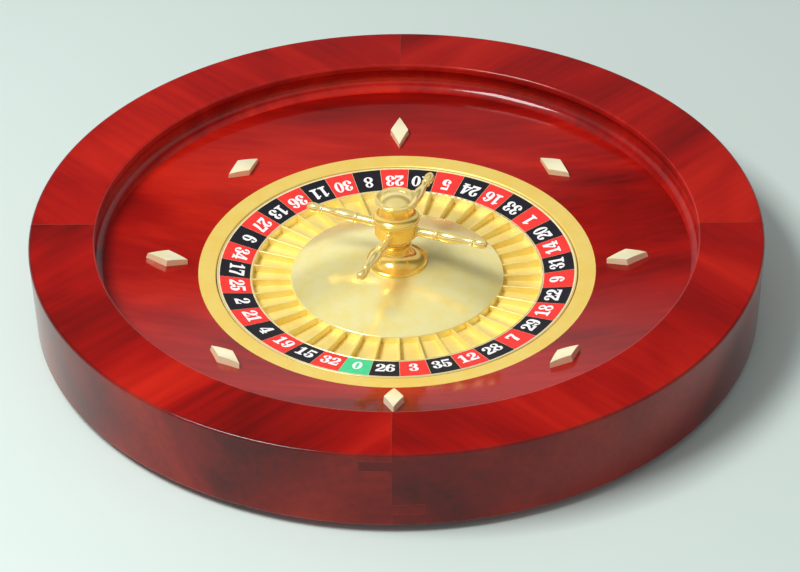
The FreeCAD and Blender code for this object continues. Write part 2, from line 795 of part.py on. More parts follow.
def turret_cap():
    """Knob on top: flared underside, rolled rim, groove and shallow dome."""
    rim_z = neck_top + cap_flare_height
    groove_z = neck_top + cap_height - cap_dome_rise
    cap_top = neck_top + cap_height
    dome_r = cap_dome_r - cap_groove_half
    dome_ball_r = (dome_r ** 2 + cap_dome_rise ** 2) / (2 * cap_dome_rise)
    dome_mid = (dome_r / 2, cap_top - dome_ball_r + math.sqrt(dome_ball_r ** 2 - (dome_r / 2) ** 2))
    body = turned([
        (0, neck_top), (neck_r, neck_top), ((neck_r + 0.7, neck_top + 0.9), (cap_r - 0.5, rim_z - 1.0)),
        ((cap_r, rim_z), (cap_r - 0.9, rim_z + 1.1)),
        ((cap_r - 1.9, groove_z + 0.35), (cap_dome_r + cap_groove_half, groove_z)),
        (cap_dome_r, groove_z - cap_groove), (dome_r, groove_z), (dome_mid, (0, cap_top))])
    return body.cut(rod(stud_r, neck_top - 1, neck_top + stud_cap_bite))


# ---- write every node ----

def export(name, shapes):
    """Write one node as separate solids in one file."""
    if not isinstance(shapes, list):
        shapes = [shapes]
    solids = [solid for shape in shapes for solid in shape.Solids]
    for solid in solids:
        if not solid.isValid() or solid.Volume <= 0:
            raise ValueError("bad solid in " + name)
    result = solids[0] if len(solids) == 1 else Part.makeCompound(solids)
    result.exportStep("parts/" + name + ".step")
    print("%-24s %3d solids %12.1f mm3" % (name, len(solids), sum(solid.Volume for solid in solids)))


def export_numbered(name, shapes):
    """Write repeated pieces as one node each."""
    for number, shape in enumerate(shapes, 1):
        export("%s_%d" % (name, number), shape)


def make_bowl():
    """Everything that stands still except the bearings' inner races."""
    rim_holes = board_fasteners(sunk_hole, board_mid_r, rim_screw_bite)
    apron_circle_r = bowl_bore_r + apron_screw_setback
    apron_holes = board_fasteners(sunk_hole, apron_circle_r, apron_screw_bite)
    foot_holes = foot_fasteners(sunk_hole)
    bolt_holes = around(moved(flange_bolt_hole(), bolt_circle_r), bolt_count, 180.0 / bolt_count)

    export_numbered("rim_segment", rim_segments(rim_blank(), rim_holes + foot_holes))
    export("apron", apron_ring(apron_holes + deflector_fasteners(sunk_hole)))
    export("apron_trim_ring", apron_trim())
    export_numbered("deflector", deflectors())
    export("deflector_screws", deflector_fasteners(sunk_screw))

    board = ring(0, board_r, foot_height, base_top)
    export("base_board", cut_all(board, rim_holes + apron_holes + foot_holes + bolt_holes))
    export("base_rim_screws", board_fasteners(sunk_screw, board_mid_r, rim_screw_bite))
    export("base_apron_screws", board_fasteners(sunk_screw, apron_circle_r, apron_screw_bite))
    export("feet", feet(foot_holes))
    export("foot_screws", foot_fasteners(sunk_screw))

    lower_race_r = spindle_r + (lower_outer_r - spindle_r) * race_share
    flange = turned([(spindle_r, base_top), (flange_r, base_top), (flange_r, flange_top),
                     (lower_race_r, flange_top), (lower_race_r, lower_bearing_z),
                     (spindle_r, lower_bearing_z)])
    export("spindle_flange", cut_all(flange, bolt_holes))
    export("flange_bolts", around(moved(flange_bolt(), bolt_circle_r), bolt_count, 180.0 / bolt_count))
    nut = hexagon_nut(bolt_nut_width, bolt_r, flange_top, flange_top + bolt_nut_height, bolt_circle_r)
    export("flange_nuts", around(nut, bolt_count, 180.0 / bolt_count))

    shoulder_z = hub_top - spindle_shoulder_drop
    spindle = turned([(0, base_top), (spindle_r, base_top), (spindle_r, shoulder_z),
                      (spindle_neck_r, shoulder_z + 1), (spindle_neck_r, upper_bearing_top),
                      (spindle_thread_r, upper_bearing_top), (spindle_thread_r, spindle_top - 0.5),
                      (spindle_thread_r - 0.5, spindle_top), (0, spindle_top)])
    export("spindle", spindle)
    export("spindle_washer", ring(spindle_thread_r, washer_r, upper_bearing_top, washer_top))
    export("spindle_nut", hexagon_nut(spindle_nut_width, spindle_thread_r, washer_top, spindle_nut_top))


def make_bearings():
    """Both bearings: races, balls and cages."""
    inner, outer, balls, cage = bearing(spindle_r, lower_outer_r, lower_bearing_z, lower_width, lower_ball_r,
                                        lower_balls)
    export("lower_inner_race", inner)
    export("lower_outer_race", outer)
    export("lower_balls", balls)
    export("lower_cage", cage)
    inner, outer, balls, cage = bearing(spindle_neck_r, upper_outer_r, upper_bearing_z, upper_width,
                                        upper_ball_r, upper_balls)
    export("upper_inner_race", inner)
    export("upper_outer_race", outer)
    export("upper_balls", balls)
    export("upper_cage", cage)
    export("retaining_ring", retaining_ring())


def make_rotor():
    """Plate, pockets, numbers, cone and hub."""
    web_screw_r = plate_bore_r + web_flange_width / 2
    web_seat_z = plate_top + web_flange_thickness
    web_holes = screw_holes(web_screw_r, web_screw_count, plate_bottom, web_seat_z)
    hub_holes = screw_holes(hub_screw_circle_r, hub_screw_count, hub_seat_z - web_thickness,
                            hub_seat_z + hub_flange_thickness)
    carrier_holes = carrier_fasteners(sunk_hole)
    turret_holes = around(moved(turret_screw(sunk_hole), turret_screw_circle_r), turret_screw_count)

    export("rotor_plate", rotor_plate(web_holes + carrier_holes))
    export("rotor_web", rotor_web(web_holes + hub_holes))
    export("web_screws", pan_screws(web_screw_r, web_screw_count, web_seat_z, plate_bottom))
    export("number_carrier", number_carrier(carrier_holes))
    export("carrier_screws", carrier_fasteners(sunk_screw))
    export("number_ring", number_ring())
    export("rotor_rim", rotor_rim())
    floor_bore_r = plate_bore_r + web_flange_width + floor_web_gap
    export("pocket_floor", ring(floor_bore_r, pad_inner_r, plate_top, pocket_floor))
    export("pocket_outer_ring", pocket_outer_ring())
    step_deg = 360.0 / pocket_count
    export("frets", around(fret(), pocket_count, zero_pocket_deg + step_deg / 2))
    export("cone", cone_shell())
    export("rotor_hub", rotor_hub(hub_holes + turret_holes))
    export("hub_screws", pan_screws(hub_screw_circle_r, hub_screw_count, hub_seat_z + hub_flange_thickness,
                                    hub_seat_z - web_thickness))


def make_turret():
    """Everything that stands on the cone."""
    export("turret_base", turret_base())
    screw = moved(turret_screw(sunk_screw), turret_screw_circle_r)
    export("turret_screws", around(screw, turret_screw_count))
    arm_solids = arms()
    export("turret_hub", turret_hub(arm_solids))
    export_numbered("turret_arm", arm_solids)
    export("turret_neck", turret_neck())
    export("turret_cap", turret_cap())
    export("turret_stud", rod(stud_r, neck_top - stud_bite, neck_top + stud_cap_bite))


os.makedirs("parts", exist_ok=True)
make_bowl()
make_bearings()
make_rotor()
make_turret()
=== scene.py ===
import json
import math

import bmesh
import bpy
from mathutils import Matrix, Vector
from mathutils.geometry import delaunay_2d_cdt

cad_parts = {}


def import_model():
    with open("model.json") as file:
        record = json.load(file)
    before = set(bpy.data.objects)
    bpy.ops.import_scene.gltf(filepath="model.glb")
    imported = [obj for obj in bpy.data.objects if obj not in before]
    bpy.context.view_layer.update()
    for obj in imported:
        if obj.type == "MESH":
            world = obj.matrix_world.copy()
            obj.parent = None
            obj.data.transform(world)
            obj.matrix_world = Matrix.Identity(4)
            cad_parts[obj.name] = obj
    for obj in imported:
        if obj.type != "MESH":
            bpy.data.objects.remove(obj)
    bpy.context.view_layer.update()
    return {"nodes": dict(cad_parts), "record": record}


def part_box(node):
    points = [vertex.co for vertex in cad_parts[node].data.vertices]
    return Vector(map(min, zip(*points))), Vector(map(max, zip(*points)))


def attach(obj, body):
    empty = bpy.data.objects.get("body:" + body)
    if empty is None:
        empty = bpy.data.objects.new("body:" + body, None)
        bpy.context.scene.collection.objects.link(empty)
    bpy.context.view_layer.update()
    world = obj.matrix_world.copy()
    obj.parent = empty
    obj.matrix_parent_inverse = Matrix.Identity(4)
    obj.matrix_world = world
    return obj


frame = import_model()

# Looks of a tabletop roulette wheel. Metres, in the frame of the CAD model: +Z up along the rotor's axis,
# origin on the table, the player's side towards -Y.

MM = 0.001

# ---- sizes read from the frame ----
RIM_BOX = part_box("rim_segment_1")
FOOT_Z = RIM_BOX[0].z
RIM_TOP = RIM_BOX[1].z
RIM_R = RIM_BOX[1].x
NUMBER_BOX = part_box("number_ring")
PAD_OUTER_R = NUMBER_BOX[1].x
PAD_INNER_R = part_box("pocket_outer_ring")[1].x
PAD_OUTER_Z = NUMBER_BOX[1].z
PAD_FALL = 3.7 * MM
PAD_INNER_Z = PAD_OUTER_Z - PAD_FALL

# ---- the numbers ----
WHEEL_ORDER = [0, 32, 15, 19, 4, 21, 2, 25, 17, 34, 6, 27, 13, 36, 11, 30, 8, 23, 10, 5, 24, 16, 33, 1, 20,
               14, 31, 9, 22, 18, 29, 7, 28, 12, 35, 3, 26]
ZERO_DEG = -103.0
STEP_DEG = 360.0 / len(WHEEL_ORDER)

# ---- camera ----
CAMERA_AT = Vector((32.8, -1534.7, 1124.0)) * MM
CAMERA_HEADING_DEG = -1.16
CAMERA_PITCH_DEG = -35.97
CAMERA_ROLL_DEG = -0.82
LENS_MM = 135.0
SENSOR_MM = 36.0
CAMERA_REACH = 50.0


# ---- material helpers ----

def new_material(name):
    """Empty node material with its Principled shader."""
    material = bpy.data.materials.new(name)
    material.use_nodes = True
    tree = material.node_tree
    shader = tree.nodes["Principled BSDF"]
    return material, tree, shader


def add(tree, kind, **settings):
    """New node with its properties or input defaults set."""
    node = tree.nodes.new(kind)
    for key, value in settings.items():
        if hasattr(node, key):
            setattr(node, key, value)
        else:
            node.inputs[key.replace("_", " ")].default_value = value
    return node


def colour(red, green, blue):
    """Colour given as screen values 0..255, turned into linear values."""
    def linear(value):
        value = value / 255.0
        return value / 12.92 if value <= 0.04045 else ((value + 0.055) / 1.055) ** 2.4
    return (linear(red), linear(green), linear(blue), 1.0)


def ramp(tree, stops):
    """Colour ramp with (position, colour) stops."""
    node = tree.nodes.new("ShaderNodeValToRGB")
    elements = node.color_ramp.elements
    while len(elements) > 1:
        elements.remove(elements[-1])
    elements[0].position = stops[0][0]
    elements[0].color = stops[0][1]
    for position, value in stops[1:]:
        element = elements.new(position)
        element.color = value
    return node


def bump(tree, shader, height, strength, distance, below=None):
    """Bump from a height output, on top of another bump if given."""
    node = add(tree, "ShaderNodeBump", Strength=strength, Distance=distance)
    tree.links.new(height, node.inputs["Height"])
    if below is not None:
        tree.links.new(below.outputs["Normal"], node.inputs["Normal"])
    tree.links.new(node.outputs["Normal"], shader.inputs["Normal"])
    return node


def object_place(tree):
    """Place in the object's own frame."""
    return add(tree, "ShaderNodeTexCoord").outputs["Object"]


def noise(tree, vector, **settings):
    """Noise pattern over a vector."""
    node = add(tree, "ShaderNodeTexNoise", **settings)
    tree.links.new(vector, node.inputs["Vector"])
    return node.outputs["Fac"]


def tinted(tree, shader, pattern, stops):
    """Base colour that follows a pattern through colour stops."""
    tint = ramp(tree, stops)
    tree.links.new(pattern, tint.inputs[0])
    tree.links.new(tint.outputs[0], shader.inputs["Base Color"])


def rough_between(tree, shader, pattern, low, high):
    """Roughness that follows a pattern between two values."""
    node = add(tree, "ShaderNodeMapRange")
    tree.links.new(pattern, node.inputs["Value"])
    node.inputs["To Min"].default_value = low
    node.inputs["To Max"].default_value = high
    tree.links.new(node.outputs[0], shader.inputs["Roughness"])


def ring_coordinates(tree, radius):
    """Seamless vector for marks round the wheel: a circle of that radius, lifted by distance less height."""
    links = tree.links
    split = add(tree, "ShaderNodeSeparateXYZ")
    links.new(object_place(tree), split.inputs[0])
    flat = add(tree, "ShaderNodeCombineXYZ")
    links.new(split.outputs["X"], flat.inputs[0])
    links.new(split.outputs["Y"], flat.inputs[1])
    distance = add(tree, "ShaderNodeVectorMath", operation="LENGTH")
    links.new(flat.outputs[0], distance.inputs[0])
    unit = add(tree, "ShaderNodeVectorMath", operation="NORMALIZE")
    links.new(flat.outputs[0], unit.inputs[0])
    circle = add(tree, "ShaderNodeVectorMath", operation="SCALE")
    links.new(unit.outputs[0], circle.inputs[0])
    circle.inputs["Scale"].default_value = radius
    across = add(tree, "ShaderNodeMath", operation="SUBTRACT")
    links.new(distance.outputs["Value"], across.inputs[0])
    links.new(split.outputs["Z"], across.inputs[1])
    lift = add(tree, "ShaderNodeCombineXYZ")
    links.new(across.outputs[0], lift.inputs[2])
    joined = add(tree, "ShaderNodeVectorMath", operation="ADD")
    links.new(circle.outputs[0], joined.inputs[0])
    links.new(lift.outputs[0], joined.inputs[1])
    return joined.outputs[0]


def scaled(tree, source, scale):
    """Vector scaled by three factors."""
    node = add(tree, "ShaderNodeMapping")
    tree.links.new(source, node.inputs["Vector"])
    node.inputs["Scale"].default_value = scale
    return node.outputs[0]


# ---- wood ----

WOOD_DARK = colour(100, 8, 5)
WOOD_MID = colour(152, 13, 7)
WOOD_LIGHT = colour(192, 32, 14)
WOOD_ROUGHNESS = 0.30
STREAK_SHARE = 0.30
# Painted shade: the rim's outer wall is multiplied darker and browner, standing in for the lesser light it
# gets.
WALL_PAINTED_SHADE = (0.55, 0.95, 0.85, 1.0)
WALL_PAINTED_SHADE_START = 1.9 * MM
WALL_PAINTED_SHADE_END = 1.2 * MM
FIRST_GRAIN_DEG = 45.0
GRAIN_STEP_DEG = 90.0
PLANK_OFFSET = 1.7
APRON_OFFSET = 9.0


def wall_share(tree):
    """1 on the rim's outer wall, 0 inside it: where the painted shade on the wall goes."""
    links = tree.links
    flat = add(tree, "ShaderNodeVectorMath", operation="MULTIPLY")
    links.new(object_place(tree), flat.inputs[0])
    flat.inputs[1].default_value = (1, 1, 0)
    distance = add(tree, "ShaderNodeVectorMath", operation="LENGTH")
    links.new(flat.outputs[0], distance.inputs[0])
    share = add(tree, "ShaderNodeMapRange")
    links.new(distance.outputs["Value"], share.inputs["Value"])
    share.inputs["From Min"].default_value = RIM_R - WALL_PAINTED_SHADE_START
    share.inputs["From Max"].default_value = RIM_R - WALL_PAINTED_SHADE_END
    return share.outputs[0]


def plank_place(tree, offset, grain_deg):
    """Place along a plank's straight grain, cut from its own part of the pattern."""
    placed = add(tree, "ShaderNodeMapping")
    tree.links.new(object_place(tree), placed.inputs["Vector"])
    placed.inputs["Location"].default_value = (offset, offset * 0.37, offset * 0.61)
    placed.inputs["Rotation"].default_value = (0, 0, math.radians(grain_deg))
    return placed.outputs[0]


def wood_colour(tree, shader, figure, streaks):
    """Red figure with fine streaks, with painted shade darkening the outer wall to a browner red."""
    links = tree.links
    fine = add(tree, "ShaderNodeMath", operation="MULTIPLY_ADD")
    links.new(streaks, fine.inputs[0])
    fine.inputs[1].default_value = STREAK_SHARE
    fine.inputs[2].default_value = -STREAK_SHARE / 2
    mixed = add(tree, "ShaderNodeMath", operation="ADD")
    links.new(figure, mixed.inputs[0])
    links.new(fine.outputs[0], mixed.inputs[1])
    tint = ramp(tree, [(0.26, WOOD_DARK), (0.50, WOOD_MID), (0.76, WOOD_LIGHT)])
    links.new(mixed.outputs[0], tint.inputs[0])
    # Painted shade: the outer wall's colour is multiplied darker here.
    wall_shaded = add(tree, "ShaderNodeMix", data_type="RGBA", blend_type="MULTIPLY")
    links.new(wall_share(tree), wall_shaded.inputs["Factor"])
    links.new(tint.outputs[0], wall_shaded.inputs["A"])
    wall_shaded.inputs["B"].default_value = WALL_PAINTED_SHADE
    links.new(wall_shaded.outputs["Result"], shader.inputs["Base Color"])


def red_wood(name, offset, grain_deg):
    """Red stained wood under gloss lacquer. Each plank's grain runs straight, at its own angle."""
    material, tree, shader = new_material(name)
    plank = plank_place(tree, offset, grain_deg)
    broad = scaled(tree, plank, (5, 15, 15))
    figure = noise(tree, broad, Scale=1.0, Detail=3.0, Roughness=0.5, Distortion=0.6)
    streaks = noise(tree, scaled(tree, plank, (10, 210, 210)), Scale=1.0, Detail=5.0, Roughness=0.6)
    wood_colour(tree, shader, figure, streaks)
    pores = noise(tree, scaled(tree, plank, (60, 1300, 1300)), Scale=1.0, Detail=4.0, Roughness=0.7)
    first = bump(tree, shader, pores, 0.05, 0.0002)
    waves = noise(tree, plank, Scale=24.0, Detail=2.0)
    second = bump(tree, shader, waves, 0.06, 0.0012, first)
    tree.links.new(second.outputs["Normal"], shader.inputs["Coat Normal"])
    rough_between(tree, shader, figure, WOOD_ROUGHNESS - 0.05, WOOD_ROUGHNESS + 0.10)
    shader.inputs["Specular IOR Level"].default_value = 0.08
    shader.inputs["Coat Weight"].default_value = 0.6
    shader.inputs["Coat Roughness"].default_value = 0.06
    shader.inputs["Coat IOR"].default_value = 1.45
    return material


# ---- metals ----

MARK_CIRCLE_R = 0.02
MARK_STRETCH = (12, 12, 2600)
SMOOTHEST = 0.02


def metal(name, base, tip, roughness, scratch=0.02, wear=0.08, metallic=1.0):
    """Metal with fine turning marks, cloudy polish and slight tarnish. Lacquered if metallic is below 1."""
    material, tree, shader = new_material(name)
    clouds = noise(tree, object_place(tree), Scale=90.0, Detail=4.0, Roughness=0.6)
    tinted(tree, shader, clouds, [(0.30, tip), (0.62, base)])
    round_wheel = scaled(tree, ring_coordinates(tree, MARK_CIRCLE_R), MARK_STRETCH)
    marks = noise(tree, round_wheel, Scale=1.0, Detail=3.0, Roughness=0.6)
    rough_between(tree, shader, marks, max(roughness - wear * 0.5, SMOOTHEST), roughness + wear)
    bump(tree, shader, marks, scratch, 0.0001)
    shader.inputs["Metallic"].default_value = metallic
    return material


# ---- print, rubber, plywood ----

def printed(name, tone, shade):
    """Satin printed colour with faint mottling."""
    material, tree, shader = new_material(name)
    mottle = noise(tree, object_place(tree), Scale=260.0, Detail=3.0)
    tinted(tree, shader, mottle, [(0.35, shade), (0.65, tone)])
    bump(tree, shader, mottle, 0.04, 0.0001)
    rough_between(tree, shader, mottle, 0.45, 0.58)
    shader.inputs["Specular IOR Level"].default_value = 0.22
    return material


def rubber(name):
    """Matt black rubber with a fine moulded grain."""
    material, tree, shader = new_material(name)
    grain = noise(tree, object_place(tree), Scale=900.0, Detail=3.0)
    tinted(tree, shader, grain, [(0.3, colour(22, 22, 23)), (0.7, colour(38, 38, 40))])
    bump(tree, shader, grain, 0.2, 0.0003)
    shader.inputs["Roughness"].default_value = 0.75
    return material


def plywood(name):
    """Pale plywood with straight grain across the board."""
    material, tree, shader = new_material(name)
    along = scaled(tree, object_place(tree), (9, 170, 170))
    grain = noise(tree, along, Scale=1.0, Detail=8.0, Roughness=0.65, Distortion=0.4)
    stops = [(0.3, colour(150, 108, 70)), (0.55, colour(196, 156, 108)), (0.75, colour(214, 180, 134))]
    tinted(tree, shader, grain, stops)
    bump(tree, shader, grain, 0.25, 0.0003)
    shader.inputs["Roughness"].default_value = 0.62
    return material


MATERIALS = {
    "satin_brass": metal("brass_satin", colour(255, 226, 122), colour(255, 218, 106),
                         0.40, 0.03, metallic=0.35),
    "polished_brass": metal("brass_polished", colour(255, 224, 118), colour(255, 210, 94),
                            0.14, 0.01, 0.04, 0.6),
    "pale_brass": metal("brass_pale", colour(255, 245, 190), colour(255, 238, 168), 0.24, 0.01, metallic=0.5),
    "pocket_brass": metal("brass_pocket", colour(255, 236, 150), colour(255, 226, 126),
                          0.30, 0.003, 0.03, 0.35),
    "cast_aluminium": metal("aluminium_turned", colour(206, 208, 212), colour(188, 190, 195), 0.34, 0.06),
    "bearing_steel": metal("steel_ground", colour(214, 216, 220), colour(200, 202, 206), 0.12, 0.01),
    "zinc_steel": metal("steel_zinc", colour(190, 192, 196), colour(166, 168, 172), 0.32, 0.03),
    "cage_steel": metal("steel_pressed", colour(176, 176, 178), colour(156, 156, 158), 0.30, 0.03),
    "foot_rubber": rubber("rubber_foot"),
    "board_wood": plywood("plywood_base"),
    "number_print": printed("print_cream", colour(240, 226, 176), colour(230, 212, 160)),
}
DEFLECTOR_BRASS = metal("brass_deflector", colour(255, 250, 212), colour(255, 243, 190),
                        0.20, 0.005, 0.04, 0.3)
TURRET_PALE = metal("brass_turret_pale", colour(255, 237, 160), colour(255, 226, 130), 0.12, 0.005, 0.04, 0.6)
CONE_BRASS = metal("brass_cone", colour(255, 246, 176), colour(255, 238, 146), 0.16, 0.003, 0.03, 0.45)
SEAM_WOOD = printed("seam_filler", colour(150, 44, 22), colour(128, 34, 18))
PAD_RED = printed("pad_red", colour(240, 60, 54), colour(232, 54, 50))
PAD_BLACK = printed("pad_black", colour(30, 30, 39), colour(24, 24, 31))
PAD_GREEN = printed("pad_green", colour(78, 214, 150), colour(68, 204, 140))
DIGIT_WHITE = printed("digit_white", colour(250, 250, 250), colour(243, 243, 243))


def paint_frame():
    """Give every CAD node its material."""
    slots = {part["node"]: part["material_slot"] for part in frame["record"]["subparts"]}
    for node, thing in frame["nodes"].items():
        slot_name = slots[node]
        if slot_name == "red_wood":
            number = int(node[-1])
            grain_deg = FIRST_GRAIN_DEG + GRAIN_STEP_DEG * number
            material = red_wood("wood_" + node, PLANK_OFFSET * number, grain_deg)
        elif slot_name == "apron_wood":
            material = red_wood("wood_apron", APRON_OFFSET, 0.0)
        elif node == "cone":
            material = CONE_BRASS
        elif node.startswith("deflector_") and node[-1].isdigit():
            material = DEFLECTOR_BRASS
        elif node == "turret_cap" or node.startswith("turret_arm_"):
            material = TURRET_PALE
        else:
            material = MATERIALS[slot_name]
        thing.data.materials.clear()
        thing.data.materials.append(material)


paint_frame()


# ---- number pads ----

PAD_THICKNESS = 0.12 * MM
PAD_INNER_MARGIN = 0.3 * MM
PAD_OUTER_MARGIN = 1.0 * MM
PAD_GAP = 0.25 * MM
PAD_SINK = 0.02 * MM
PAD_COLUMNS = 6
RED, BLACK, GREEN = range(3)


def pad_height(radius):
    """Height of the sloping number ring at a radius."""
    share = (radius - PAD_INNER_R) / (PAD_OUTER_R - PAD_INNER_R)
    return PAD_INNER_Z + share * (PAD_OUTER_Z - PAD_INNER_Z)


def make_object(name, mesh_data, materials, body):
    """Link a finished mesh and let it ride on a body."""
    mesh = bpy.data.meshes.new(name)
    mesh_data.to_mesh(mesh)
    mesh_data.free()
    for material in materials:
        mesh.materials.append(material)
    thing = bpy.data.objects.new(name, mesh)
    bpy.context.scene.collection.objects.link(thing)
    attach(thing, body)
    return thing


def number_pads():
    """One thin coloured pad for each number, standing a hair above the number ring."""
    columns = PAD_COLUMNS
    data = bmesh.new()
    inner = PAD_INNER_R + PAD_INNER_MARGIN
    outer = PAD_OUTER_R - PAD_OUTER_MARGIN
    for place in range(len(WHEEL_ORDER)):
        centre = math.radians(ZERO_DEG - place * STEP_DEG)
        paint = GREEN if place == 0 else (RED if place % 2 else BLACK)
        rows = []
        for radius in (inner, outer):
            half = math.radians(STEP_DEG / 2) - PAD_GAP / 2 / radius
            turns = [half * (2 * column / columns - 1) for column in range(columns + 1)]
            rows.append([(radius, centre + turn) for turn in turns])

        def point(radius, angle, lift):
            height = pad_height(radius) + lift
            return data.verts.new((radius * math.cos(angle), radius * math.sin(angle), height))
        top = [[point(radius, angle, PAD_THICKNESS) for radius, angle in row] for row in rows]
        low = [[point(radius, angle, -PAD_SINK) for radius, angle in row] for row in rows]
        faces = []
        for column in range(columns):
            faces.append((top[0][column], top[1][column], top[1][column + 1], top[0][column + 1]))
            faces.append((low[0][column], low[0][column + 1], low[1][column + 1], low[1][column]))
            faces.append((low[0][column], top[0][column], top[0][column + 1], low[0][column + 1]))
            faces.append((low[1][column], low[1][column + 1], top[1][column + 1], top[1][column]))
        faces.append((low[0][0], low[1][0], top[1][0], top[0][0]))
        faces.append((low[0][columns], top[0][columns], top[1][columns], low[1][columns]))
        for corners in faces:
            face = data.faces.new(corners)
            face.material_index = paint
    bmesh.ops.recalc_face_normals(data, faces=data.faces)
    return make_object("number_pads", data, [PAD_RED, PAD_BLACK, PAD_GREEN], "rotor")


number_pads()


# ---- numerals: heavy slab-serif figures, drawn in a box one unit high ----

OVAL_SIDES = 28


def oval(x, y, half_width, half_height):
    """Oval outline."""
    angles = [2 * math.pi * side / OVAL_SIDES for side in range(OVAL_SIDES)]
    return [(x + half_width * math.cos(angle), y + half_height * math.sin(angle)) for angle in angles]


def block(left, low, right, high):
    """Upright rectangle."""
    return [(left, low), (right, low), (right, high), (left, high)]


def half_turned(steps):
    """The same figure upside down."""
    return [(keep, [(-x, 1 - y) for x, y in outline]) for keep, outline in steps]


INK = True
CUT = False
SIX = [(INK, oval(0, 0.5, 0.31, 0.5)), (CUT, oval(0.03, 0.5, 0.11, 0.425)),
       (CUT, block(0.0, 0.10, 0.40, 0.76)), (INK, oval(0, 0.305, 0.31, 0.305)),
       (CUT, oval(0, 0.295, 0.095, 0.225)), (INK, oval(0.175, 0.79, 0.115, 0.105))]
FIGURES = {
    "0": [(INK, oval(0, 0.5, 0.31, 0.5)), (CUT, oval(0, 0.5, 0.10, 0.415))],
    "1": [(INK, block(-0.105, 0, 0.105, 1)), (INK, block(-0.27, 0, 0.27, 0.105)),
          (INK, [(-0.2, 0.105), (-0.105, 0.19), (0.105, 0.19), (0.2, 0.105)]),
          (INK, [(-0.27, 0.72), (-0.105, 0.80), (0.0, 0.75), (0.105, 1), (-0.06, 1), (-0.14, 0.90),
                 (-0.27, 0.83)])],
    "2": [(INK, oval(0, 0.715, 0.30, 0.285)), (CUT, oval(-0.02, 0.715, 0.09, 0.215)),
          (CUT, block(-0.40, 0.36, 0.06, 0.69)), (INK, oval(-0.185, 0.72, 0.115, 0.11)),
          (INK, [(0.07, 0.66), (0.30, 0.70), (0.27, 0.55), (0.16, 0.42), (-0.02, 0.29), (-0.10, 0.16),
                 (-0.30, 0.10), (-0.25, 0.26), (-0.12, 0.40), (0.03, 0.54)]),
          (INK, block(-0.30, 0, 0.30, 0.19)), (INK, [(0.21, 0.19), (0.30, 0.19), (0.32, 0.35), (0.24, 0.35)]),
          (CUT, [(-0.06, 0.30), (0.0, 0.255), (0.21, 0.21), (0.235, 0.36), (0.10, 0.33)])],
    "3": [(INK, oval(0, 0.745, 0.27, 0.255)), (INK, oval(0, 0.275, 0.30, 0.275)),
          (CUT, oval(-0.03, 0.755, 0.085, 0.175)), (CUT, oval(-0.03, 0.265, 0.095, 0.19)),
          (CUT, block(-0.40, 0.30, -0.05, 0.72)), (INK, block(-0.10, 0.48, 0.05, 0.55)),
          (INK, oval(-0.18, 0.73, 0.11, 0.105)), (INK, oval(-0.195, 0.27, 0.12, 0.115))],
    "4": [(INK, [(0.02, 1), (0.22, 1), (0.22, 0.72), (-0.17, 0.26), (-0.33, 0.26), (-0.33, 0.33)]),
          (INK, block(-0.33, 0.21, 0.33, 0.34)), (INK, block(0.01, 0, 0.22, 1)),
          (CUT, [(0.01, 0.72), (0.01, 0.34), (-0.215, 0.34)]), (INK, block(-0.10, 0, 0.33, 0.105))],
    "5": [(INK, oval(0, 0.31, 0.31, 0.31)), (CUT, oval(-0.05, 0.31, 0.10, 0.235)),
          (CUT, block(-0.40, 0.29, -0.03, 0.70)), (INK, block(-0.235, 0.44, -0.14, 1)),
          (INK, [(-0.235, 0.44), (-0.14, 0.44), (-0.02, 0.545), (0.05, 0.62), (-0.08, 0.60)]),
          (INK, block(-0.235, 0.81, 0.27, 1)), (INK, oval(-0.19, 0.255, 0.12, 0.115))],
    "6": SIX,
    "7": [(INK, block(-0.30, 0.81, 0.30, 1)), (INK, block(-0.30, 0.66, -0.215, 0.82)),
          (INK, [(0.12, 0.82), (0.30, 0.82), (0.17, 0.45), (0.12, 0), (-0.13, 0), (-0.06, 0.40)])],
    "8": [(INK, oval(0, 0.755, 0.265, 0.245)), (INK, oval(0, 0.275, 0.31, 0.275)),
          (CUT, oval(0, 0.765, 0.10, 0.155)), (CUT, oval(0, 0.265, 0.115, 0.18))],
    "9": half_turned(SIX),
}
FIGURE_HEIGHT = 9.5 * MM
FIGURE_STEP = 6.0 * MM
FIGURE_R = PAD_INNER_R + 8.6 * MM
INK_THICKNESS = 0.07 * MM
INK_SINK = 0.03 * MM


def figure_triangles(steps):
    """Flat triangles of a figure: each step in turn inks or clears its outline."""
    points = []
    faces = []
    for _, outline in steps:
        start = len(points)
        area = sum(a[0] * b[1] - a[1] * b[0] for a, b in zip(outline, outline[1:] + outline[:1]))
        ordered = outline if area > 0 else outline[::-1]
        points.extend(Vector(point) for point in ordered)
        faces.append(list(range(start, len(points))))
    result = delaunay_2d_cdt(points, [], faces, 1, 1e-5, True)
    corners, triangles, owners = result[0], result[2], result[5]
    kept = []
    for triangle, owner in zip(triangles, owners):
        inked = False
        for number, (keep, _) in enumerate(steps):
            if number in owner:
                inked = keep
        if inked:
            kept.append(triangle)
    return corners, kept


